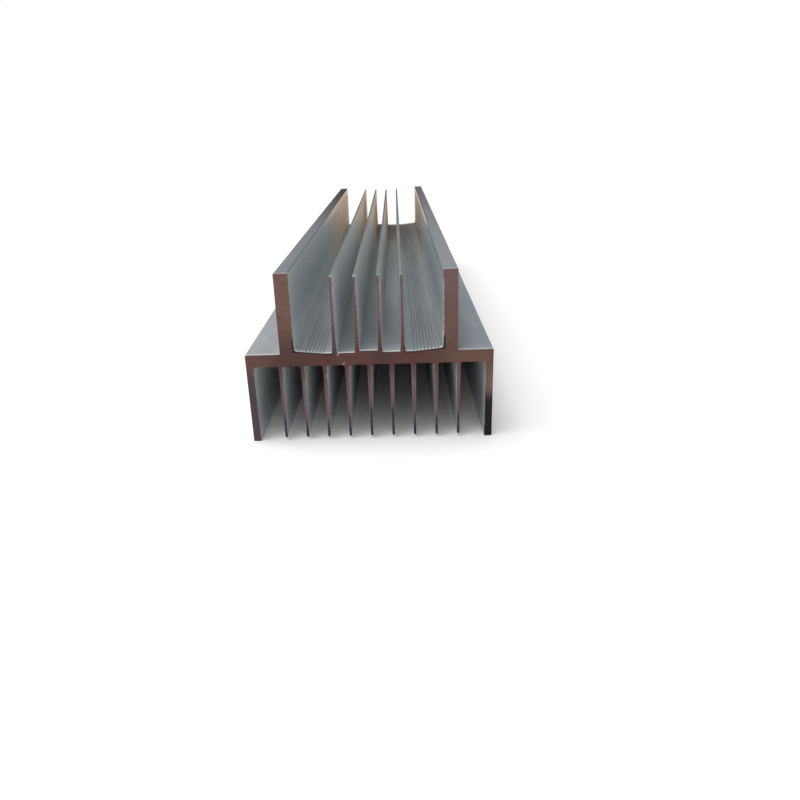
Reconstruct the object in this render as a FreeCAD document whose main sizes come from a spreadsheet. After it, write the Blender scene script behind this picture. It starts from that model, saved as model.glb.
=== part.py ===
import FreeCAD, Part
import os
from collections import namedtuple

import Sketcher

# Extruded aluminium heat sink: one piece, sawn from a bar of constant section.
# A flat deck stands on two outer legs and carries two thick posts.
# Thin tapered fins hang under the deck between the legs, and stand on it between the posts.
# V grooves run along the fins, the inner faces of the posts and legs, and the two ramps that
# climb from the deck to the posts.
# Frame: X across the section, Y along the extrusion, Z up.
# The origin is midway along the piece, midway between the legs, at the level of the leg ends.

# Driving dimensions in millimetres; a name that ends in _count is a number of fins.
SIZES = {
    # Whole piece
    "length": 450.0,
    "width": 122.0,
    "height": 86.4,
    # Deck, and the legs flush with its sides
    "deck_level": 46.5,
    "deck_thickness": 6.3,
    "leg_thickness": 3.8,
    # Posts; the spread is over their outer faces
    "post_spread": 87.2,
    "post_thickness": 7.1,
    # Ramps from the deck up to the inner faces of the posts
    "ramp_width": 15.5,
    "ramp_rise": 1.6,
    # The floor between the two middle fins stands this much above the deck
    "middle_floor_rise": 0.9,
    # Fins under the deck; the gap is from their tips down to the leg ends
    "lower_fin_count": 9,
    "lower_fin_pitch": 11.0,
    "lower_fin_tip": 1.2,
    "lower_fin_root": 2.2,
    "lower_fin_gap": 1.7,
    # Fins on the deck; the drop is from the post tops down to their tips
    "upper_fin_count": 4,
    "upper_fin_pitch": 11.15,
    "upper_fin_tip": 1.2,
    "upper_fin_root": 2.3,
    "upper_fin_drop": 2.0,
    # V grooves, and the teeth that they leave on the ramps
    "groove_pitch": 1.7,
    "groove_depth": 0.25,
    "ramp_tooth_depth": 0.35,
    # Least plain bands without grooves, at a free tip and beside a root radius
    "plain_tip_band": 5.0,
    "plain_root_band": 0.4,
    # Radii in the inner corners and on the outer edges
    "fin_root_radius": 0.7,
    "leg_root_radius": 1.2,
    "post_foot_radius": 0.6,
    "ramp_corner_radius": 1.0,
    "edge_radius": 0.4,
    "fin_tip_radius": 0.35,
}
# Depth that a fin reaches into the deck, so that it joins it without a seam
EMBED = 1.0
# How near an edge has to pass to a named place of the section to be the one meant
EDGE_TOLERANCE = 0.01

# How an edge of an outline runs, where it isn't straight
ROUND = "quarter circle that bulges out"
HOLLOW = "quarter circle that bulges in"
Grooves = namedtuple("Grooves", "first pitch depth count")

# Levels and faces of the section, as expressions over the sheet
UNDERSIDE = "(sizes.deck_level - sizes.deck_thickness)"
LEG_OUTER = "(sizes.width / 2)"
LEG_INNER = "(sizes.width / 2 - sizes.leg_thickness)"
POST_OUTER = "(sizes.post_spread / 2)"
POST_INNER = "(sizes.post_spread / 2 - sizes.post_thickness)"
RAMP_FOOT = f"({POST_INNER} - sizes.ramp_width)"
RAMP_TOP = "(sizes.deck_level + sizes.ramp_rise)"
MIDDLE_FLOOR = "(sizes.deck_level + sizes.middle_floor_rise)"
UPPER_TIP = "(sizes.height - sizes.upper_fin_drop)"

doc = FreeCAD.newDocument("HeatSink")
sheet = doc.addObject("Spreadsheet::Sheet", "sizes")
for row, (alias, size) in enumerate(SIZES.items(), start=1):
    sheet.set(f"A{row}", alias)
    sheet.set(f"B{row}", str(size))
    sheet.setAlias(f"B{row}", alias)
doc.recompute()

body = doc.addObject("PartDesign::Body", "heat_sink")
body.Label = "heat_sink"
body.Placement = FreeCAD.Placement()


def value(expression):
    """The number that an expression over the sheet gives."""
    return float(body.evalExpression(expression))


def origin_feature(role):
    """The body's own origin plane or axis with this role."""
    return next(item for item in body.Origin.OriginFeatures if item.Role == role)


def grooves_on_a_wall(first, run, depth="sizes.groove_depth"):
    """As many grooves as fit into a run that begins at first along an edge."""
    count = int(value(run) / value("sizes.groove_pitch"))
    return Grooves(first, "sizes.groove_pitch", depth, count)


def bind(sketch, expression, kind, *where):
    """A dimension between the given points or edges that follows an expression."""
    index = sketch.addConstraint(Sketcher.Constraint(kind, *where, value(expression)))
    sketch.setExpression(f"Constraints[{index}]", expression)


def draw_quarter(sketch, start, end, style):
    """A quarter circle from start to end: its edge, with the numbers of its two ends."""
    above, beside = (start, end) if style is ROUND else (end, start)
    middle = FreeCAD.Vector(above.x, beside.y, 0)
    circle = Part.Circle(middle, FreeCAD.Vector(0, 0, 1), middle.distanceToPoint(above))
    ends = (start, end) if style is ROUND else (end, start)
    angles = [circle.parameter(point) for point in ends]
    arc = sketch.addGeometry(Part.ArcOfCircle(circle, *angles))
    sketch.addConstraint(Sketcher.Constraint("Vertical", arc, 3, arc, 1))
    return (arc, 1, 2) if style is ROUND else (arc, 2, 1)


def draw_grooves(sketch, start, end, grooves):
    """An edge with V grooves whose crests lie on the straight line from start to end."""
    along = (end - start).normalize()
    inward = FreeCAD.Vector(-along.y, along.x, 0)
    first, pitch, depth = (value(item) for item in grooves[:3])
    points = [start, start + along * first]
    for i in range(grooves.count):
        points.append(start + along * (first + (i + 0.5) * pitch) + inward * depth)
        points.append(start + along * (first + (i + 1) * pitch))
    points.append(end)
    lines = sketch.addGeometry([Part.LineSegment(a, b) for a, b in zip(points, points[1:])])
    plain, flanks, rest = lines[0], lines[1:-1], lines[-1]
    crest_line = sketch.addGeometry(Part.LineSegment(start, end), True)
    valley_line = sketch.addGeometry(Part.LineSegment(points[2], points[-3]), True)
    joints = [(a, 2, b, 1) for a, b in zip(lines, lines[1:])]
    joints += [(crest_line, 1, plain, 1), (crest_line, 2, rest, 2)]
    joints += [(valley_line, 1, flanks[0], 2), (valley_line, 2, flanks[-2], 2)]
    crests = [(flank, 1, crest_line) for flank in flanks[::2]] + [(rest, 1, crest_line)]
    valleys = [(flank, 2, valley_line) for flank in flanks[2:-2:2]]
    sketch.addConstraint(
        [Sketcher.Constraint("Coincident", *joint) for joint in joints]
        + [Sketcher.Constraint("PointOnObject", *point) for point in crests + valleys]
        + [Sketcher.Constraint("Parallel", crest_line, valley_line)]
        + [Sketcher.Constraint("Equal", flanks[0], flank) for flank in flanks[1:]]
    )
    bind(sketch, grooves.first, "Distance", plain, 1, plain, 2)
    bind(sketch, grooves.pitch, "Distance", flanks[0], 1, flanks[1], 2)
    bind(sketch, grooves.depth, "Distance", valley_line, 1, crest_line)
    return [(plain, 1, 2), (rest, 1, 2)]


def draw_outline(name, corners, place=("0", "0"), turn=0):
    """A closed outline across the section, drawn counterclockwise.

    Each corner is its two coordinates, then how the edge that leaves it runs: nothing for a
    straight edge, ROUND or HOLLOW for a quarter circle, Grooves for a row of V grooves.
    place is the (x, z) of the outline's own origin, and turn its angle in degrees.
    """
    sketch = body.newObject("Sketcher::SketchObject", name)
    sketch.AttachmentSupport = [(origin_feature("XZ_Plane"), "")]
    sketch.MapMode = "FlatFace"
    sketch.AttachmentOffset.Rotation = FreeCAD.Rotation(FreeCAD.Vector(0, 0, 1), turn)
    sketch.setExpression(".AttachmentOffset.Base.x", place[0])
    sketch.setExpression(".AttachmentOffset.Base.y", place[1])
    points = [FreeCAD.Vector(value(corner[0]), value(corner[1]), 0) for corner in corners]
    edges = []
    for i, corner in enumerate(corners):
        start, end = points[i], points[(i + 1) % len(points)]
        style = corner[2] if len(corner) > 2 else None
        if isinstance(style, Grooves):
            edges.append(draw_grooves(sketch, start, end, style))
        elif style:
            edges.append([draw_quarter(sketch, start, end, style)])
        else:
            edges.append([(sketch.addGeometry(Part.LineSegment(start, end)), 1, 2)])
    for i, corner in enumerate(corners):
        edge, start, _ = edges[i][0]
        before, _, end = edges[i - 1][-1]
        sketch.addConstraint(Sketcher.Constraint("Coincident", before, end, edge, start))
        for kind, expression, axis in (("DistanceX", corner[0], -2), ("DistanceY", corner[1], -1)):
            if expression == "0":
                sketch.addConstraint(Sketcher.Constraint("PointOnObject", edge, start, axis))
            else:
                bind(sketch, expression, kind, -1, 1, edge, start)
    return sketch


def pad_outline(name, corners, **position):
    """An outline extruded over the whole length, half of it to each side of the origin.

    Faces in one plane are joined once, with the last row of fins, and not at each feature.
    """
    outline = draw_outline(f"{name}_outline", corners, **position)
    pad = body.newObject("PartDesign::Pad", name)
    pad.Profile = outline
    pad.setExpression("Length", "sizes.length")
    pad.SideType = "Symmetric"
    pad.Refine = False
    body.Tip = pad
    doc.recompute()
    return pad


def round_edges(name, places, radius):
    """A fillet on the long edges that pass through the given (x, z) pairs of expressions."""
    base = body.Tip
    wanted = [(value(x), value(z)) for x, z in places]
    found = []
    for number, edge in enumerate(base.Shape.Edges, start=1):
        start, end = edge.Vertexes[0], edge.Vertexes[-1]
        if abs(start.Y - end.Y) < value("sizes.length") / 2:
            continue
        if any(abs(start.X - x) + abs(start.Z - z) < EDGE_TOLERANCE for x, z in wanted):
            found.append(f"Edge{number}")
    if len(found) != len(wanted):
        raise RuntimeError(f"{name}: {len(found)} edges found, {len(wanted)} expected")
    fillet = body.newObject("PartDesign::Fillet", name)
    fillet.Base = (base, found)
    fillet.setExpression("Radius", radius)
    fillet.Refine = False
    body.Tip = fillet
    doc.recompute()


def row_of_fins(row, tip_level, reach, turn, plain_root, refine):
    """A row of tapered fins, each grooved along both sides, with a radius at its root.

    One half of the outermost fin on the right is drawn from its tip at 0 to its root at reach.
    It is turned and set at its place, mirrored about its centre line and repeated to the left.
    """
    half_tip, half_root = f"(sizes.{row}_fin_tip / 2)", f"(sizes.{row}_fin_root / 2)"
    count, pitch = f"sizes.{row}_fin_count", f"sizes.{row}_fin_pitch"
    tip_radius = f"min(sizes.fin_tip_radius; {half_tip} / 2)"
    side_end = f"({reach} - sizes.fin_root_radius)"
    foot = f"({half_root} + sizes.fin_root_radius)"
    buried = f"({reach} + {EMBED})"
    first = f"(sizes.plain_tip_band - {tip_radius})"
    run = f"{side_end} - sizes.plain_tip_band - {plain_root}"
    half_fin = pad_outline(
        f"{row}_fin_half",
        [
            ("0", "0"),
            (f"({half_tip} - {tip_radius})", "0", ROUND),
            (half_tip, tip_radius, grooves_on_a_wall(first, run)),
            (half_root, side_end, HOLLOW),
            (foot, reach),
            (foot, buried),
            ("0", buried),
        ],
        place=(f"({count} - 1) / 2 * {pitch}", tip_level),
        turn=turn,
    )
    fins = body.newObject("PartDesign::MultiTransform", f"{row}_fins")
    both_sides = body.newObject("PartDesign::Mirrored", f"{row}_fin_sides")
    both_sides.MirrorPlane = (half_fin.Profile[0], ["V_Axis"])
    to_the_left = body.newObject("PartDesign::LinearPattern", f"{row}_fin_row")
    to_the_left.Direction = (origin_feature("X_Axis"), [""])
    to_the_left.Reversed = True
    to_the_left.Mode = "Spacing"
    to_the_left.setExpression("Offset", pitch)
    to_the_left.Occurrences = int(value(count))
    fins.Originals = [half_fin]
    fins.Transformations = [both_sides, to_the_left]
    fins.Refine = refine
    body.Tip = fins
    doc.recompute()


# Right half of the section without its fins
leg_first = "(sizes.leg_root_radius + sizes.plain_root_band)"
leg_run = f"{UNDERSIDE} - {leg_first} - sizes.plain_tip_band"
ramp_first = "(sizes.ramp_corner_radius + sizes.plain_root_band)"
ramp_run = f"sizes.ramp_width - {ramp_first} - sizes.plain_root_band"
post_run = f"sizes.height - sizes.plain_tip_band - {RAMP_TOP} - {ramp_first}"
pad_outline(
    "half_section",
    [
        ("0", UNDERSIDE),
        (LEG_INNER, UNDERSIDE, grooves_on_a_wall(leg_first, leg_run)),
        (LEG_INNER, "0"),
        (LEG_OUTER, "0"),
        (LEG_OUTER, "sizes.deck_level"),
        (POST_OUTER, "sizes.deck_level"),
        (POST_OUTER, "sizes.height"),
        (POST_INNER, "sizes.height", grooves_on_a_wall("sizes.plain_tip_band", post_run)),
        (POST_INNER, RAMP_TOP, grooves_on_a_wall(ramp_first, ramp_run, "sizes.ramp_tooth_depth")),
        (RAMP_FOOT, "sizes.deck_level"),
        ("(sizes.upper_fin_pitch / 2)", "sizes.deck_level"),
        ("(sizes.upper_fin_pitch / 2)", MIDDLE_FLOOR),
        ("0", MIDDLE_FLOOR),
    ],
)

# Radii of the half section
round_edges("leg_root", [(LEG_INNER, UNDERSIDE)], "sizes.leg_root_radius")
round_edges("post_foot", [(POST_OUTER, "sizes.deck_level")], "sizes.post_foot_radius")
round_edges("ramp_corner", [(POST_INNER, RAMP_TOP)], "sizes.ramp_corner_radius")
round_edges(
    "outer_edges",
    [
        (LEG_INNER, "0"),
        (LEG_OUTER, "0"),
        (LEG_OUTER, "sizes.deck_level"),
        (POST_OUTER, "sizes.height"),
        (POST_INNER, "sizes.height"),
    ],
    "sizes.edge_radius",
)

# Left half
mirror = body.newObject("PartDesign::Mirrored", "both_halves")
mirror.TransformMode = "Whole shape"
mirror.MirrorPlane = (origin_feature("YZ_Plane"), [""])
mirror.Refine = False
body.Tip = mirror
doc.recompute()

# Fins under the deck and, turned over, on it
row_of_fins(
    "lower",
    tip_level="sizes.lower_fin_gap",
    reach=f"({UNDERSIDE} - sizes.lower_fin_gap)",
    turn=0,
    plain_root="sizes.plain_root_band",
    refine=False,
)
row_of_fins(
    "upper",
    tip_level=UPPER_TIP,
    reach=f"({UPPER_TIP} - sizes.deck_level)",
    turn=180,
    plain_root="(sizes.middle_floor_rise + sizes.plain_root_band)",
    refine=True,
)

# Write the piece
for item in doc.Objects:
    if "Invalid" in item.State or "Error" in item.State:
        raise RuntimeError(f"{item.Name} did not recompute: {item.State}")
if body.Shape.isNull() or not body.Shape.isValid():
    raise RuntimeError(f"{body.Label} has no valid shape")
os.makedirs("parts", exist_ok=True)
body.Shape.exportStep(f"parts/{body.Label}.step")
print(f"{body.Label}: {len(body.Shape.Solids)} solid, {body.Shape.Volume / 1000:.1f} cm3")
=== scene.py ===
import math

import bpy
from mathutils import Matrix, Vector

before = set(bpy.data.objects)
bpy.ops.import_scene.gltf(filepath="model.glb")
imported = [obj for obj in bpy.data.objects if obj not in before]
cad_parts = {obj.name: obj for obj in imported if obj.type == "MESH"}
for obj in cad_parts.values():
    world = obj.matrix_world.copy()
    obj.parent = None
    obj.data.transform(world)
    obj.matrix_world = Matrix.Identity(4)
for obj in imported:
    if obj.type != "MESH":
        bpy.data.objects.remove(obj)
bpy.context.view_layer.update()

# A straight length of extruded aluminium heat sink stands on its two legs on a pale floor.
# Metres, X across the section, Y along the extrusion away from the camera, Z up.

# Places in the section where the finish changes, and how near a face counts as that face
HALF_LENGTH = 0.225
HALF_WIDTH = 0.061
DECK_LEVEL = 0.0465
DECK_UNDERSIDE = 0.0402
LEG_INNER = 0.0572
POST_OUTER = 0.0436
POST_INNER = 0.0365
POST_TOP = 0.0864
FIN_TOP = 0.0844
FACE_REACH = 0.001

# Grooves and ramps: the pitch, where the first groove lies from a post, the plain bands below
# the tops, how far the ramps reach and rise, the outermost fin's root, and how far from the
# left post its ramp looks smooth
GROOVE_PITCH = 0.0017
RAMP_FIRST = 0.0014
PLAIN_BAND = 0.0050
RIGHT_BAND = 0.0036
RAMP_REACH = 0.0155
RAMP_RISE = 0.0016
FIN_OUTER = 0.0174
LEFT_SMOOTH = 0.0045

# The camera's place and turn in degrees, and its sensor and lens in millimetres
CAMERA_PLACE = (0.01472, -0.53650, 0.14960)
CAMERA_TURN = (68.668, 1.816, 0.489)
CAMERA_SENSOR = 36.0
CAMERA_LENS = 30.18
CAMERA_SHIFT = (0.01665, -0.01622)

# Light from all round, one broad soft lamp up on the left, a fill beside the camera
# and a warm lamp low behind the far end
WORLD_LIGHT = 0.55
LAMP_LIGHT = 2.0
LAMP_ANGLE = 50.0
LAMP_FROM = (-0.40, -0.05, 1.0)
FILL_PLACE = (0.02, -1.30, 0.15)
FILL_AIM = (0.0, -HALF_LENGTH, 0.03)
FILL_SIZE = (0.9, 0.28)
FILL_LIGHT = 6.0
WARM_PLACE = (0.0, 0.75, 0.12)
WARM_AIM = (0.0, HALF_LENGTH, 0.06)
WARM_SIZE = (0.9, 0.20)
WARM_LIGHT = 0.9
WARM_COLOUR = (255, 232, 205)

# A warm card on the floor beyond the far end, which only reflections see: its corners and
# level, where its two colours blend, and how brightly it glows
CARD = (-0.28, 0.235, 0.28, 2.0)
CARD_LEVEL = 0.0005
CARD_BLEND = (0.35, 0.60)
CARD_NEAR = (255, 188, 112)
CARD_FAR = (190, 132, 76)
CARD_GLOW = 1.12

# Floor: its half width, how white it is, and how far from the object it fades into the
# white backdrop
FLOOR_HALF_WIDTH = 8.0
FLOOR_WHITE = 0.94
FADE_START = 0.03
FADE_END = 0.30

# Display colours of the extruded faces. The walls of the upper channels carry a painted warm
# reflection towards the far end. The faces that look up are duller, and painted shade darkens
# them more that way.
WALL_LIGHT = (218, 223, 222)
WALL_DARK = (200, 206, 206)
WALL_BLUISH = (190, 197, 206)
WALL_GREENISH = (198, 208, 200)
LOWER_WALL = (184, 189, 192)
# Painted shade on the posts' inner faces, more on the right post
LEFT_POST_WALL = (166, 174, 178)
RIGHT_POST_WALL = (154, 161, 165)
# Painted warm reflection on the upper channels' far walls, the right post's darkened as painted
# shade
LEFT_POST_FAR = (203, 196, 185)
RIGHT_POST_FAR = (158, 150, 140)
FIN_FAR = (234, 227, 215)
LEFT_BAND = (176, 182, 183)
# Painted cream highlights on the plain bands towards the far end, nearly white on the right post
CREAM_HIGHLIGHT = (236, 226, 212)
RIGHT_CREAM_HIGHLIGHT = (250, 244, 236)
OUTER_LIGHT = (174, 178, 180)
OUTER_DARK = (148, 153, 155)
# Painted light: the deck's underside is light and warm to brighten it under the deck
UNDERSIDE = (228, 214, 206)
LEFT_LEDGE = (153, 156, 159)
# The right ledge's darker colour is painted shade from the right post
RIGHT_LEDGE = (143, 150, 155)
# Painted shade on the tops of the posts and fins, nearly black towards the far end
LEFT_TOP_NEAR = (116, 120, 125)
RIGHT_TOP_NEAR = (126, 130, 134)
LEFT_TOP_FAR = (22, 19, 18)
RIGHT_TOP_FAR = (80, 74, 82)
FIN_TOP_NEAR = (112, 118, 115)
FIN_TOP_FAR = (14, 9, 8)
# The channels' floors, darkened towards the far end as painted shade
CHANNEL_NEAR = (150, 156, 160)
CHANNEL_MIDDLE = (166, 172, 174)
CHANNEL_FAR = (133, 129, 128)

# How much lighter or darker than its colour a face is: painted shade on the walls at the very
# far end and on the fins at the near end, painted light on the strip, the channels' floors without
# and with painted shade in their grooves, the tops' inner edges, the patches of the outer faces and
# the blotches of the faces that look up
TIP_SHADE = 0.48
FIN_NEAR_PAINTED_SHADE = 0.85
STRIP_LIGHT_SHADE = 1.40
GROOVE_SHADES = (1.04, 0.70)
TOP_EDGE_SHADE = 0.66
OUTER_SHADES = (0.93, 1.06)
BLOTCH_SHADES = (0.88, 1.10)

# Where these colours and shades start and end, across and up the section
LOWER_WALL_RAMP = (0.030, 0.012)
POST_SHADE_RAMP = (DECK_LEVEL, DECK_LEVEL + 0.020)
FIN_SHADE_RAMP = (DECK_LEVEL + 0.010, FIN_TOP)
LIT_STRIP = (0.005, 0.020, 0.030)
TOP_REACH = 0.0006
TOP_EDGE_WIDTH = 0.0011

# Where they start and end along the length, and how strong the painted shade in the left ramp's
# grooves and the walls' patches are
FIN_SHADE_ALONG = (0.0, -0.15)
CREAM_RAMP = (-0.06, 0.06)
RIGHT_CREAM_RAMP = (-0.075, -0.045)
FAR_RAMP = (-0.01, 0.12)
TIP_RAMP = (0.12, HALF_LENGTH)
BRIGHT_RAMP = (-HALF_LENGTH, -0.12)
FAR_SHADE_RAMP = (-0.05, HALF_LENGTH)
LEFT_GROOVE_SHADE_RAMP = (-0.10, -0.18)
LEFT_GROOVE_SHADE_SHARES = (0.35, 1.0)
PATCH_SHARE = 0.6

# How finely each noise varies across, along and up, per metre
BLUISH_SCALE = (30.0, 7.0, 30.0)
GREENISH_SCALE = (41.0, 9.0, 41.0)
BLOTCH_SCALE = (70.0, 12.0, 70.0)
LINES_SCALE = (900.0, 0.5, 900.0)
GRAIN_SCALE = (500.0, 500.0, 1600.0)
RAGGED_SCALE = (300.0, 300.0, 120.0)
STAINS_SCALE = (110.0, 110.0, 60.0)
TICKS_SCALE = (0.0, 0.0, 500.0)

# The values of each noise, out of 0 to 1, between which its effect grows
LINES_RAMP = (0.3, 0.7)
OUTER_LINES_RAMP = (0.35, 0.65)
ROUGH_LINES_RAMP = (0.2, 0.8)
BLUISH_RAMP = (0.45, 0.70)
OUTER_PATCH_RAMP = (0.3, 0.7)
GREENISH_RAMP = (0.50, 0.72)
BLOTCH_RAMP = (0.25, 0.75)
GRAIN_RAMP = (0.25, 0.75)
STAINS_RAMP = (0.25, 0.75)
RAGGED_RAMP = (0.2, 0.8)
TICKS_RAMP = (0.35, 0.65)

# Display colours of the sawn ends, whose reddish brown is a painted reflection, and of their
# burr, with its painted highlight and painted shadow, and their scratches
LEFT_POST_TOP = (98, 74, 69)
RIGHT_POST_TOP = (94, 72, 73)
CUT_POST = (92, 69, 61)
CUT_DECK = (74, 49, 46)
CUT_DECK_SIDE = (86, 64, 56)
CUT_FIN = (92, 70, 74)
CUT_LEG = (67, 56, 58)
CUT_RIGHT_LEG = (95, 74, 64)
RIGHT_LEG_DARK = (20, 18, 24)
FIN_TIP_DARK = (42, 43, 51)
BURR_SHADOW = (34, 24, 20)
BARE_METAL_AND_HIGHLIGHT = (224, 230, 226)

# Where the colours of the sawn ends start and end: across the deck, up the posts and upper
# fins, down the lower fins and legs, and the tops of the dark tips. Then how much lighter or
# darker the stains and the grain make them.
CUT_LEFT_RAMP = (-POST_INNER, -HALF_WIDTH)
CUT_RIGHT_RAMP = (0.024, POST_OUTER)
CUT_POST_RAMP = (DECK_LEVEL, DECK_LEVEL + 0.015)
CUT_POST_TOP_RAMP = (0.060, POST_TOP)
CUT_FIN_RAMP = (DECK_LEVEL, DECK_LEVEL + 0.020)
CUT_BESIDE_POST = (POST_INNER - 0.003, POST_INNER)
LOWER_FIN_RAMP = (DECK_UNDERSIDE, DECK_UNDERSIDE - 0.012)
LOWER_LEG_RAMP = (DECK_UNDERSIDE, DECK_UNDERSIDE - 0.010)
LEG_CUT_START = LEG_INNER - 0.002
UNDERSIDE_RAMP = (DECK_UNDERSIDE - 0.002, DECK_UNDERSIDE + 0.002)
FIN_TIP_DARK_RAMP = (0.018, 0.009)
FIN_TIP_RAGGED = 0.006
RIGHT_LEG_DARK_RAMP = (0.028, 0.018)
STAIN_SHADES = (0.84, 1.14)
GRAIN_SHADES = (0.92, 1.08)

# The burr's painted shadow: a dark line just under the outer channels' floors, its depth, and
# its top beside the posts
BURR_SHADOW_DEPTH = 0.0010
BURR_SHADOW_TOP = 0.054

# The thin burr that the saw leaves along the ends of the extruded faces, drawn bright as a
# painted highlight: its width, how strong it is from the deck up and from the channels
# outwards, where the grooves break it, and its ticks beside a post
BURR_WIDTH = 0.0017
BURR_RAMP = (DECK_LEVEL + 0.010, POST_TOP)
BURR_SHARES = (0.8, 0.3)
BURR_OUTWARDS = (1.0, 0.5)
BURR_GAPS = (0.3, 0.8)
TICK_WIDTH = 0.0004
TICKS_FROM = 0.053
TICK_CREST_RAMP = (0.3, 0.9)
TICK_SHARES = (0.2, 1.0)

# How steeply a face has to look up, down or along to count as a film, an underside or an end,
# and how close to the near end a point counts as on it
UP_RAMP = (0.3, 0.7)
DOWN = -0.7
ALONG = 0.7
END_DEPTH = 0.0001

# How much of the look is mirror rather than matt, how blurred the mirror is, and how strong
# and deep the bumps are
WALL_METALLIC = 0.40
FAR_METALLIC = 0.65
FILM_METALLIC = 0.05
CUT_METALLIC = 0.15
WALL_ROUGHNESS = (0.34, 0.46)
FAR_ROUGHNESS = 0.36
FILM_ROUGHNESS = 0.75
CUT_ROUGHNESS = 0.50
SPECULAR_LEVEL = 0.15
BUMP_STRENGTH = 0.3
BUMP_DISTANCE = 0.00004

# Nicks: centre and radius. They are drawn out along the length.
NICK_SQUEEZE = 0.4
NICKS = [
    ((0.0198, -0.1891, 0.0466), 0.0010),
    ((-0.0167, -0.225, 0.0842), 0.0003),
    ((-0.0056, -0.225, 0.0842), 0.0004),
    ((-0.0319, -0.225, 0.0308), 0.0006),
    ((-0.0212, -0.225, 0.0347), 0.0005),
]

# Scratches across the deck's near end: their two ends in the section, their half width and
# how bright they are
SCRATCHES = [
    ((-0.0134, 0.0472), (-0.0160, 0.0449)),
    ((-0.0117, 0.0420), (-0.0137, 0.0395)),
]
SCRATCH_WIDTH = 0.0003
SCRATCH_SHARE = 0.35


def srgb(red, green, blue):
    """A colour given in 0 to 255 display values, as the linear colour that shaders take."""
    def linear(value):
        value /= 255
        return value / 12.92 if value <= 0.04045 else ((value + 0.055) / 1.055) ** 2.4
    return (linear(red), linear(green), linear(blue), 1.0)


class Nodes:
    """Short calls that add nodes to one node tree and link them."""

    def __init__(self, tree):
        self.tree = tree
        tree.nodes.clear()

    def add(self, kind, inputs=None, **settings):
        """A node with its settings and inputs; an input is a number, a colour or a socket."""
        node = self.tree.nodes.new(kind)
        for name, setting in settings.items():
            setattr(node, name, setting)
        for name, given in (inputs or {}).items():
            self.feed(node.inputs[name], given)
        return node

    def feed(self, socket, given):
        """Links the socket to a socket, or sets it to a value."""
        if isinstance(given, bpy.types.NodeSocket):
            self.tree.links.new(given, socket)
        else:
            socket.default_value = given

    def math(self, operation, first, second=0.0, clamp=False):
        """One arithmetic step."""
        inputs = {0: first, 1: second}
        return self.add("ShaderNodeMath", inputs, operation=operation, use_clamp=clamp).outputs[0]

    def ramp(self, value, start, end, low=0.0, high=1.0):
        """Low at start, high at end and smooth between them."""
        inputs = {"Value": value, "From Min": start, "From Max": end, "To Min": low, "To Max": high}
        node = self.add("ShaderNodeMapRange", inputs, interpolation_type="SMOOTHSTEP")
        return node.outputs["Result"]

    def mix(self, share, first, second):
        """A colour between two colours."""
        node = self.add("ShaderNodeMix", data_type="RGBA")
        sockets = {socket.identifier: socket for socket in [*node.inputs, *node.outputs]}
        self.feed(sockets["Factor_Float"], share)
        self.feed(sockets["A_Color"], first)
        self.feed(sockets["B_Color"], second)
        return sockets["Result_Color"]

    def noise(self, place, scale, detail=2.0, roughness=0.5):
        """A noise value about 0.5 over a stretched place vector."""
        stretched = self.add("ShaderNodeMapping", {"Vector": place, "Scale": scale})
        inputs = {"Vector": stretched.outputs[0], "Scale": 1.0, "Detail": detail,
                  "Roughness": roughness}
        return self.add("ShaderNodeTexNoise", inputs).outputs["Fac"]

    def blend(self, share, first, second):
        """A number between two numbers."""
        return self.add("ShaderNodeMix", {0: share, 2: first, 3: second}).outputs[0]

    def shade(self, colour, amount):
        """The colour made lighter or darker by a number about 1."""
        return self.add("ShaderNodeHueSaturation", {"Color": colour, "Value": amount}).outputs[0]

    def dot(self, place, centre, radius):
        """1 within a small round spot, fading at its rim."""
        offset = self.add("ShaderNodeVectorMath", {0: place, 1: centre}, operation="DISTANCE")
        return self.ramp(offset.outputs["Value"], radius, radius / 2)


def groove_valley(n, distance):
    """0 on the crests and 1 in the valleys of the grooves, from the distance past the first."""
    turns = n.math("DIVIDE", distance, GROOVE_PITCH)
    return n.math("MULTIPLY", n.math("PINGPONG", turns, 0.5), 2.0)


def between(n, value, low, high):
    """1 where the value lies between two numbers."""
    return n.math("MULTIPLY", n.math("GREATER_THAN", value, low), n.math("LESS_THAN", value, high))


def on_right(n, x):
    """1 on the right half of the section."""
    return n.math("GREATER_THAN", x, 0.0)


def far_share(n, x, y, z):
    """Towards the far end the upper channels' walls are shinier, with a painted warm reflection."""
    above = n.math("GREATER_THAN", z, DECK_LEVEL)
    inside = n.math("LESS_THAN", n.math("ABSOLUTE", x), POST_INNER + FACE_REACH)
    return n.math("MULTIPLY", n.math("MULTIPLY", n.ramp(y, *FAR_RAMP), above), inside)


def band_colour(n, x, y, walls, inside):
    """The plain bands atop the posts and fins, with painted cream highlights towards the far end.
    """
    cream = n.ramp(y, *CREAM_RAMP)
    left = n.mix(cream, srgb(*LEFT_BAND), srgb(*CREAM_HIGHLIGHT))
    right = n.mix(n.ramp(y, *RIGHT_CREAM_RAMP), walls, srgb(*RIGHT_CREAM_HIGHLIGHT))
    post = n.mix(on_right(n, x), left, right)
    return n.mix(inside, n.mix(cream, walls, srgb(*CREAM_HIGHLIGHT)), post)


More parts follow.
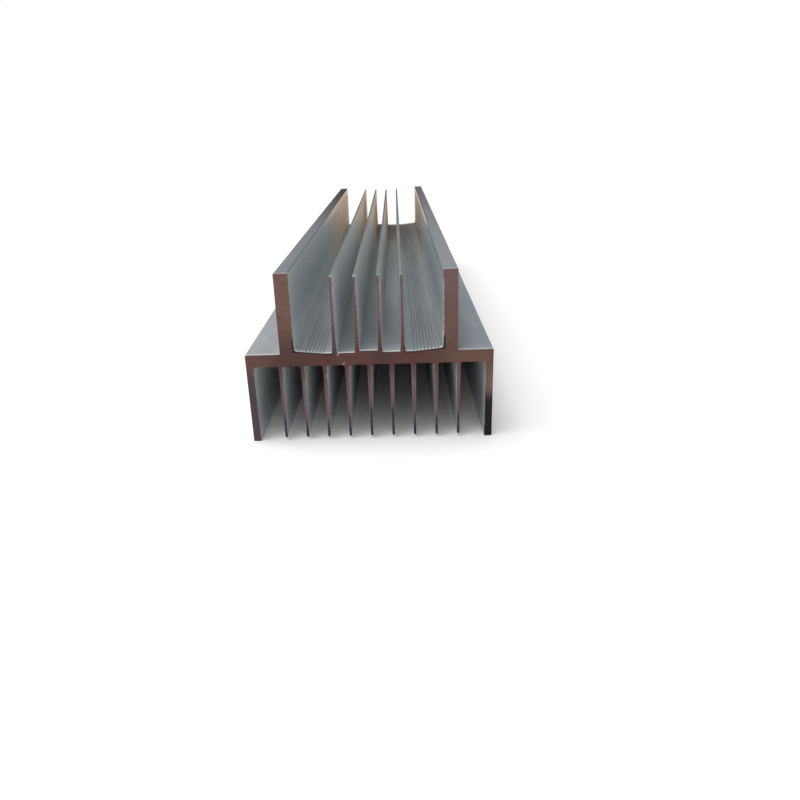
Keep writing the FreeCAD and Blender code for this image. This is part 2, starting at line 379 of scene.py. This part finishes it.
def wall_colour(n, x, y, z, place, lines, far_walls):
    """Upright faces: die lines, bluish and greenish patches, painted warm reflection at the far
    end.
    """
    aside = n.math("ABSOLUTE", x)
    walls = n.mix(n.ramp(lines, *LINES_RAMP), srgb(*WALL_DARK), srgb(*WALL_LIGHT))
    bluish = n.noise(place, BLUISH_SCALE, detail=3.0)
    patches = n.ramp(bluish, *BLUISH_RAMP, 0.0, PATCH_SHARE)
    walls = n.mix(patches, walls, srgb(*WALL_BLUISH))
    greenish = n.noise(place, GREENISH_SCALE, detail=3.0)
    patches = n.ramp(greenish, *GREENISH_RAMP, 0.0, PATCH_SHARE)
    walls = n.mix(patches, walls, srgb(*WALL_GREENISH))

    # Under the deck the walls are darker towards the floor
    between_legs = n.math("LESS_THAN", aside, LEG_INNER + FACE_REACH)
    low = n.math("MULTIPLY", between_legs, n.ramp(z, *LOWER_WALL_RAMP))
    walls = n.mix(low, walls, srgb(*LOWER_WALL))

    # Painted shade: the inner faces of the posts are darker, the right one most
    inside = between(n, aside, POST_INNER - FACE_REACH, POST_INNER + FACE_REACH)
    post_shade = n.math("MULTIPLY", inside, n.ramp(z, *POST_SHADE_RAMP))
    post = n.mix(on_right(n, x), srgb(*LEFT_POST_WALL), srgb(*RIGHT_POST_WALL))
    walls = n.mix(post_shade, walls, post)

    # Painted shade on the upper fins towards their tops at the near end
    fin_shade = n.math("MULTIPLY", n.math("SUBTRACT", 1.0, inside), n.ramp(z, *FIN_SHADE_RAMP))
    fin_shade = n.math("MULTIPLY", fin_shade, n.ramp(y, *FIN_SHADE_ALONG))
    walls = n.shade(walls, n.ramp(fin_shade, 0.0, 1.0, 1.0, FIN_NEAR_PAINTED_SHADE))

    # A painted warm reflection on the upper channels' walls towards the far end, with painted shade
    # at the very tip and on the right post, and plain bands on top
    post_far = n.mix(on_right(n, x), srgb(*LEFT_POST_FAR), srgb(*RIGHT_POST_FAR))
    on_post = n.math("GREATER_THAN", aside, POST_INNER - FACE_REACH)
    far = n.mix(on_post, srgb(*FIN_FAR), post_far)
    far = n.shade(far, n.ramp(y, *TIP_RAMP, 1.0, TIP_SHADE))
    walls = n.mix(far_walls, walls, far)
    post_band = n.blend(on_right(n, x), POST_TOP - PLAIN_BAND, POST_TOP - RIGHT_BAND)
    band_from = n.blend(inside, FIN_TOP - PLAIN_BAND, post_band)
    walls = n.mix(n.math("GREATER_THAN", z, band_from), walls, band_colour(n, x, y, walls, inside))

    # Outer faces of the posts and legs are duller than the channels, with stronger lines
    above = n.math("GREATER_THAN", z, DECK_LEVEL)
    limit = n.blend(above, HALF_WIDTH - FACE_REACH, POST_OUTER - FACE_REACH)
    outer = n.mix(n.ramp(lines, *OUTER_LINES_RAMP), srgb(*OUTER_DARK), srgb(*OUTER_LIGHT))
    outer = n.shade(outer, n.ramp(bluish, *OUTER_PATCH_RAMP, *OUTER_SHADES))
    return n.mix(n.math("GREATER_THAN", aside, limit), walls, outer)


def upward_colour(n, x, y, z, place):
    """Faces that look up: channel floors with painted shade in the grooves, ledges and post tops.
    """
    aside = n.math("ABSOLUTE", x)

    # The channels' floors: painted shade towards the far end, and painted light on a strip right
    # of the middle
    strip_start, strip_fades, strip_end = LIT_STRIP
    lit_strip = n.math("GREATER_THAN", x, strip_start)
    lit_strip = n.math("MULTIPLY", lit_strip, n.ramp(x, strip_end, strip_fades))
    channel = n.mix(n.ramp(y, *BRIGHT_RAMP), srgb(*CHANNEL_NEAR), srgb(*CHANNEL_MIDDLE))
    channel = n.shade(channel, n.ramp(lit_strip, 0.0, 1.0, 1.0, STRIP_LIGHT_SHADE))
    channel = n.mix(n.ramp(y, *FAR_SHADE_RAMP), channel, srgb(*CHANNEL_FAR))

    # Painted shade in the grooves of the ramps and in the corners by the posts, less of it on the
    # left ramp
    from_post = n.math("SUBTRACT", POST_INNER - RAMP_FIRST, aside)
    on_ramp = n.math("LESS_THAN", from_post, RAMP_REACH - RAMP_FIRST)
    in_corner = n.math("LESS_THAN", from_post, 0.0)
    groove_shade = n.math("MULTIPLY", on_ramp, n.math("MAXIMUM", in_corner, groove_valley(n, from_post)))
    past_smooth = n.math("GREATER_THAN", from_post, LEFT_SMOOTH - RAMP_FIRST)
    left = n.math("MULTIPLY", n.ramp(y, *LEFT_GROOVE_SHADE_RAMP, *LEFT_GROOVE_SHADE_SHARES), past_smooth)
    kept = n.math("MAXIMUM", on_right(n, x), left)
    groove_shade = n.math("MULTIPLY", groove_shade, kept)
    channel = n.shade(channel, n.ramp(groove_shade, 0.0, 1.0, *GROOVE_SHADES))
    # The right ledge is darker: painted shade from the right post
    ledge = n.mix(on_right(n, x), srgb(*LEFT_LEDGE), srgb(*RIGHT_LEDGE))
    upward = n.mix(n.math("GREATER_THAN", aside, POST_INNER), channel, ledge)

    # The tops of the fins and posts, with painted shade that turns them nearly black at the far end
    far = n.ramp(y, -HALF_LENGTH, HALF_LENGTH)
    left_top = n.mix(far, srgb(*LEFT_TOP_NEAR), srgb(*LEFT_TOP_FAR))
    right_top = n.mix(far, srgb(*RIGHT_TOP_NEAR), srgb(*RIGHT_TOP_FAR))
    top = n.mix(on_right(n, x), left_top, right_top)
    fin_top = n.mix(far, srgb(*FIN_TOP_NEAR), srgb(*FIN_TOP_FAR))
    upward = n.mix(n.math("GREATER_THAN", z, FIN_TOP - TOP_REACH), upward, fin_top)
    edged = n.math("MAXIMUM", n.math("LESS_THAN", x, 0.0), n.ramp(y, *RIGHT_CREAM_RAMP))
    edged = n.math("MULTIPLY", edged, n.math("LESS_THAN", aside, POST_INNER + TOP_EDGE_WIDTH))
    top = n.shade(top, n.ramp(edged, 0.0, 1.0, 1.0, TOP_EDGE_SHADE))
    upward = n.mix(n.math("GREATER_THAN", z, POST_TOP - TOP_REACH), upward, top)
    blotches = n.noise(place, BLOTCH_SCALE, detail=5.0, roughness=0.6)
    return n.shade(upward, n.ramp(blotches, *BLOTCH_RAMP, *BLOTCH_SHADES))


def burr_highlight(n, x, y, z, up, on_end):
    """A painted highlight on the burr along the ends of the floors and tops, broken by the grooves.
    """
    at_end = n.math("GREATER_THAN", n.math("ABSOLUTE", y), HALF_LENGTH - BURR_WIDTH)
    rolled = n.math("SUBTRACT", at_end, on_end, clamp=True)
    aside = n.math("ABSOLUTE", x)
    share = n.ramp(z, *BURR_RAMP, *BURR_SHARES)
    share = n.math("MULTIPLY", share, n.ramp(aside, POST_INNER, POST_OUTER, *BURR_OUTWARDS))
    line = n.math("MULTIPLY", n.math("MULTIPLY", rolled, up), share)
    from_post = n.math("SUBTRACT", POST_INNER - RAMP_FIRST, aside)
    ramp = between(n, from_post, 0.0, RAMP_REACH - RAMP_FIRST)
    gaps = n.math("MULTIPLY", ramp, groove_valley(n, from_post))
    return n.math("MULTIPLY", line, n.ramp(gaps, *BURR_GAPS, 1.0, 0.0))


def burr_ticks(n, x, z, place, on_end):
    """The burr on the crests of the right post's inner face, as ticks along the cut's edge."""
    below_band = n.math("SUBTRACT", POST_TOP - PLAIN_BAND, z)
    crest = n.math("SUBTRACT", 1.0, groove_valley(n, below_band))
    beside = between(n, x, POST_INNER - TICK_WIDTH, POST_INNER + TICK_WIDTH)
    ticks = n.math("MULTIPLY", n.ramp(crest, *TICK_CREST_RAMP), beside)
    ticks = n.math("MULTIPLY", ticks, on_end)
    ticks = n.math("MULTIPLY", ticks, between(n, z, TICKS_FROM, POST_TOP - PLAIN_BAND))
    uneven = n.ramp(n.noise(place, TICKS_SCALE), *TICKS_RAMP, *TICK_SHARES)
    return n.math("MULTIPLY", ticks, uneven)


def cut_colour(n, x, y, z, place, grain):
    """Sawn ends: a painted reddish-brown reflection, deepest in the deck, darker low on fins and a
    leg.
    """
    aside = n.math("ABSOLUTE", x)
    side = n.math("MAXIMUM", n.ramp(x, *CUT_LEFT_RAMP), n.ramp(x, *CUT_RIGHT_RAMP))
    deck = n.mix(side, srgb(*CUT_DECK), srgb(*CUT_DECK_SIDE))

    # Above the deck
    post_top = n.mix(on_right(n, x), srgb(*LEFT_POST_TOP), srgb(*RIGHT_POST_TOP))
    post = n.mix(n.ramp(z, *CUT_POST_TOP_RAMP), srgb(*CUT_POST), post_top)
    post = n.mix(n.ramp(z, *CUT_POST_RAMP), deck, post)
    fin_above = n.mix(n.ramp(z, *CUT_FIN_RAMP), deck, srgb(*CUT_FIN))
    above = n.mix(n.ramp(aside, *CUT_BESIDE_POST), fin_above, post)

    # Below the deck, where the fins' tips are darker up to a ragged line
    ragged = n.noise(place, RAGGED_SCALE, detail=3.0)
    uneven = n.ramp(ragged, *RAGGED_RAMP, -FIN_TIP_RAGGED, FIN_TIP_RAGGED)
    dark_top = n.math("ADD", z, uneven)
    fin_below = n.mix(n.ramp(z, *LOWER_FIN_RAMP), deck, srgb(*CUT_FIN))
    fin_below = n.mix(n.ramp(dark_top, *FIN_TIP_DARK_RAMP), fin_below, srgb(*FIN_TIP_DARK))
    leg = n.mix(on_right(n, x), srgb(*CUT_LEG), srgb(*CUT_RIGHT_LEG))
    leg_below = n.mix(n.ramp(z, *LOWER_LEG_RAMP), deck, leg)
    below = n.mix(n.math("GREATER_THAN", aside, LEG_CUT_START), fin_below, leg_below)

    cut = n.mix(n.ramp(z, *UNDERSIDE_RAMP), below, above)
    stains = n.noise(place, STAINS_SCALE, detail=5.0, roughness=0.65)
    cut = n.shade(cut, n.ramp(stains, *STAINS_RAMP, *STAIN_SHADES))
    cut = n.shade(cut, n.ramp(grain, *GRAIN_RAMP, *GRAIN_SHADES))

    # The near end of the right leg is nearly black over its lower half
    right_leg = n.math("GREATER_THAN", x, LEG_CUT_START)
    near = n.math("LESS_THAN", y, 0.0)
    dark_foot = n.math("MULTIPLY", n.math("MULTIPLY", right_leg, near), n.ramp(z, *RIGHT_LEG_DARK_RAMP))
    return n.mix(dark_foot, cut, srgb(*RIGHT_LEG_DARK))


def burr_shadow_share(n, x, z, on_end):
    """The burr's painted shadow: a dark line just under the outer channels' floors and beside them.
    """
    aside = n.math("ABSOLUTE", x)
    climb = n.math("MAXIMUM", n.math("SUBTRACT", aside, POST_INNER - RAMP_REACH), 0.0)
    floor = n.math("ADD", n.math("MULTIPLY", climb, RAMP_RISE / RAMP_REACH), DECK_LEVEL)
    depth = n.math("SUBTRACT", floor, z)
    valley = groove_valley(n, n.math("SUBTRACT", POST_INNER - RAMP_FIRST, aside))
    reach = n.ramp(valley, 0.0, 1.0, BURR_SHADOW_DEPTH / 2, BURR_SHADOW_DEPTH)
    under = n.math("LESS_THAN", depth, reach)
    under = n.math("MULTIPLY", under, between(n, aside, FIN_OUTER, POST_INNER))
    ramp_top = DECK_LEVEL + RAMP_RISE
    bottom = n.math("GREATER_THAN", z, DECK_LEVEL - BURR_SHADOW_DEPTH)
    under = n.math("MULTIPLY", under, bottom)
    under = n.math("MULTIPLY", under, n.math("LESS_THAN", z, ramp_top + BURR_SHADOW_DEPTH))
    beside = between(n, aside, POST_INNER, POST_INNER + BURR_SHADOW_DEPTH)
    beside = n.math("MULTIPLY", beside, between(n, z, ramp_top - BURR_SHADOW_DEPTH, BURR_SHADOW_TOP))
    return n.math("MULTIPLY", n.math("MAXIMUM", under, beside), on_end)


def nicks(n, place):
    """Small bright nicks: one in the floor of the right channel, the others on the near end."""
    inputs = {0: place, 1: (1.0, NICK_SQUEEZE, 1.0)}
    squeezed = n.add("ShaderNodeVectorMath", inputs, operation="MULTIPLY")
    spots = []
    for (x, y, z), radius in NICKS:
        spots.append(n.dot(squeezed.outputs[0], (x, y * NICK_SQUEEZE, z), radius))
    total = spots[0]
    for spot in spots[1:]:
        total = n.math("MAXIMUM", total, spot)
    return total


def scratches(n, x, z, on_end):
    """Light scratches on the near end, each a thin streak between two points of the section."""
    total = 0.0
    for (x0, z0), (x1, z1) in SCRATCHES:
        length = math.dist((x0, z0), (x1, z1))
        run_x, run_z = (x1 - x0) / length, (z1 - z0) / length
        aside = n.math("SUBTRACT", x, (x0 + x1) / 2)
        above = n.math("SUBTRACT", z, (z0 + z1) / 2)
        along = n.math("ADD", n.math("MULTIPLY", aside, run_x), n.math("MULTIPLY", above, run_z))
        across = n.math("MULTIPLY", aside, run_z)
        across = n.math("SUBTRACT", across, n.math("MULTIPLY", above, run_x))
        streak = n.ramp(n.math("ABSOLUTE", across), SCRATCH_WIDTH, 0.0, 0.0, SCRATCH_SHARE)
        fade = n.ramp(n.math("ABSOLUTE", along), length / 2, length / 4)
        streak = n.math("MULTIPLY", streak, fade)
        total = n.math("MAXIMUM", streak, total)
    return n.math("MULTIPLY", total, on_end)


def aluminium():
    """Mill finish on the extruded faces and a stained saw cut, brown as a painted reflection, on
    both ends.
    """
    material = bpy.data.materials.new("mill_finish_aluminium")
    material.use_nodes = True
    n = Nodes(material.node_tree)
    place = n.add("ShaderNodeTexCoord").outputs["Object"]
    x, y, z = n.add("ShaderNodeSeparateXYZ", {0: place}).outputs
    normal = n.add("ShaderNodeNewGeometry").outputs["True Normal"]
    _, normal_y, normal_z = n.add("ShaderNodeSeparateXYZ", {0: normal}).outputs
    on_end = n.math("GREATER_THAN", n.math("ABSOLUTE", normal_y), ALONG)
    up = n.ramp(normal_z, *UP_RAMP)
    lines = n.noise(place, LINES_SCALE, detail=4.0, roughness=0.6)
    grain = n.noise(place, GRAIN_SCALE, detail=3.0)
    far_walls = far_share(n, x, y, z)

    walls = wall_colour(n, x, y, z, place, lines, far_walls)
    rolled = n.mix(up, walls, upward_colour(n, x, y, z, place))
    # Painted light on the deck's underside
    rolled = n.mix(n.math("LESS_THAN", normal_z, DOWN), rolled, srgb(*UNDERSIDE))
    cut = cut_colour(n, x, y, z, place, grain)
    # A painted shadow of the burr on the cut
    cut = n.mix(burr_shadow_share(n, x, z, on_end), cut, srgb(*BURR_SHADOW))
    colour = n.mix(on_end, rolled, cut)

    # Bright bare metal, and a painted highlight on the burr line: the ticks and nicks are a mirror
    # too
    sparks = n.math("MAXIMUM", burr_ticks(n, x, z, place, on_end), nicks(n, place))
    bright = n.math("MAXIMUM", burr_highlight(n, x, y, z, up, on_end), sparks)
    near_end = n.math("LESS_THAN", y, -HALF_LENGTH + END_DEPTH)
    bright = n.math("MAXIMUM", bright, scratches(n, x, z, near_end))
    colour = n.mix(bright, colour, srgb(*BARE_METAL_AND_HIGHLIGHT))

    rough = n.ramp(lines, *ROUGH_LINES_RAMP, *WALL_ROUGHNESS)
    rough = n.blend(far_walls, rough, FAR_ROUGHNESS)
    rough = n.blend(up, rough, FILM_ROUGHNESS)
    rough = n.blend(on_end, rough, CUT_ROUGHNESS)
    walls_metallic = n.blend(far_walls, WALL_METALLIC, FAR_METALLIC)
    metallic = n.blend(on_end, n.blend(up, walls_metallic, FILM_METALLIC), CUT_METALLIC)
    metallic = n.blend(sparks, metallic, 1.0)
    height = n.blend(on_end, lines, grain)
    bumps = {"Strength": BUMP_STRENGTH, "Distance": BUMP_DISTANCE, "Height": height}
    bump = n.add("ShaderNodeBump", bumps)
    shader = n.add(
        "ShaderNodeBsdfPrincipled",
        {"Base Color": colour, "Metallic": metallic, "Roughness": rough, "Normal": bump.outputs[0],
         "Specular IOR Level": SPECULAR_LEVEL},
    )
    n.add("ShaderNodeOutputMaterial", {"Surface": shader.outputs[0]})
    return material


def backdrop_rays(n):
    """1 for the rays that see the backdrop: straight from the camera, or off metal or glass."""
    path = n.add("ShaderNodeLightPath")
    seen = n.math("MAXIMUM", path.outputs["Is Camera Ray"], path.outputs["Is Glossy Ray"])
    return n.math("MAXIMUM", seen, path.outputs["Is Transmission Ray"])


def make_world():
    """A white backdrop for what sees it, and a plain soft light on the object."""
    world = bpy.data.worlds.new("studio")
    world.use_nodes = True
    n = Nodes(world.node_tree)
    strength = n.ramp(backdrop_rays(n), 0.0, 1.0, WORLD_LIGHT, 1.0)
    background = n.add("ShaderNodeBackground", {"Color": (1, 1, 1, 1), "Strength": strength})
    n.add("ShaderNodeOutputWorld", {"Surface": background.outputs[0]})
    bpy.context.scene.world = world


def add_lamp(name, kind, place, aim, light, colour=(255, 255, 255), **settings):
    """A lamp at place that looks at aim."""
    data = bpy.data.lights.new(name, kind)
    data.energy = light
    data.color = srgb(*colour)[:3]
    for setting, value in settings.items():
        setattr(data, setting, value)
    lamp = bpy.data.objects.new(name, data)
    lamp.location = place
    lamp.rotation_euler = (Vector(aim) - Vector(place)).to_track_quat("-Z", "Y").to_euler()
    bpy.context.collection.objects.link(lamp)
    return lamp


def make_lamps():
    """The broad lamp above, the fill beside the camera and the warm lamp behind."""
    add_lamp("broad", "SUN", LAMP_FROM, (0, 0, 0), LAMP_LIGHT, angle=math.radians(LAMP_ANGLE))
    fill = add_lamp("fill", "AREA", FILL_PLACE, FILL_AIM, FILL_LIGHT,
                    shape="RECTANGLE", size=FILL_SIZE[0], size_y=FILL_SIZE[1])
    warm = add_lamp("warm", "AREA", WARM_PLACE, WARM_AIM, WARM_LIGHT, WARM_COLOUR,
                    shape="RECTANGLE", size=WARM_SIZE[0], size_y=WARM_SIZE[1])
    for lamp in (fill, warm):
        lamp.visible_glossy = False


def add_plane(name, box, level, material):
    """A level rectangle with one material."""
    x0, y0, x1, y1 = box
    mesh = bpy.data.meshes.new(name)
    corners = [(x0, y0, level), (x1, y0, level), (x1, y1, level), (x0, y1, level)]
    mesh.from_pydata(corners, [], [(0, 1, 2, 3)])
    mesh.materials.append(material)
    plane = bpy.data.objects.new(name, mesh)
    bpy.context.collection.objects.link(plane)
    return plane


def make_floor():
    """A pale floor that keeps the object's shadow and fades into the white backdrop."""
    material = bpy.data.materials.new("pale_floor")
    material.use_nodes = True
    n = Nodes(material.node_tree)
    place = n.add("ShaderNodeTexCoord").outputs["Object"]
    x, y, _ = n.add("ShaderNodeSeparateXYZ", {0: place}).outputs
    beside = n.math("SUBTRACT", n.math("ABSOLUTE", x), HALF_WIDTH)
    beyond = n.math("SUBTRACT", n.math("ABSOLUTE", y), HALF_LENGTH)
    distance = n.math("MAXIMUM", beside, beyond)
    fade = n.math("MULTIPLY", n.ramp(distance, FADE_START, FADE_END), backdrop_rays(n))
    matt = n.add("ShaderNodeBsdfDiffuse", {"Color": (FLOOR_WHITE, FLOOR_WHITE, FLOOR_WHITE, 1)})
    white = n.add("ShaderNodeEmission", {"Color": (1, 1, 1, 1), "Strength": 1.0})
    mixed = n.add("ShaderNodeMixShader", {0: fade, 1: matt.outputs[0], 2: white.outputs[0]})
    n.add("ShaderNodeOutputMaterial", {"Surface": mixed.outputs[0]})
    size = FLOOR_HALF_WIDTH
    floor = add_plane("floor", (-size, -size, size, size), 0.0, material)


def make_card():
    """The warm surroundings beyond the far end, for the walls of the upper channels to reflect."""
    material = bpy.data.materials.new("warm_card")
    material.use_nodes = True
    n = Nodes(material.node_tree)
    place = n.add("ShaderNodeTexCoord").outputs["Object"]
    _, y, _ = n.add("ShaderNodeSeparateXYZ", {0: place}).outputs
    colour = n.mix(n.ramp(y, *CARD_BLEND), srgb(*CARD_NEAR), srgb(*CARD_FAR))
    glow = n.add("ShaderNodeEmission", {"Color": colour, "Strength": CARD_GLOW})
    n.add("ShaderNodeOutputMaterial", {"Surface": glow.outputs[0]})
    card = add_plane("card", CARD, CARD_LEVEL, material)
    card.visible_camera = False
    card.visible_diffuse = False
    card.visible_shadow = False


def make_camera():
    """The camera at the photograph's viewing angle and frame."""
    data = bpy.data.cameras.new("camera")
    data.sensor_width = CAMERA_SENSOR
    data.lens = CAMERA_LENS
    data.shift_x, data.shift_y = CAMERA_SHIFT
    camera = bpy.data.objects.new("camera", data)
    camera.location = CAMERA_PLACE
    camera.rotation_euler = [math.radians(angle) for angle in CAMERA_TURN]
    bpy.context.collection.objects.link(camera)
    bpy.context.scene.camera = camera


heat_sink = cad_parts["heat_sink"]
metal = aluminium()
for slot in heat_sink.material_slots:
    slot.material = metal
make_world()
make_lamps()
make_floor()
make_card()
make_camera()
bpy.context.scene.view_settings.view_transform = "Standard"
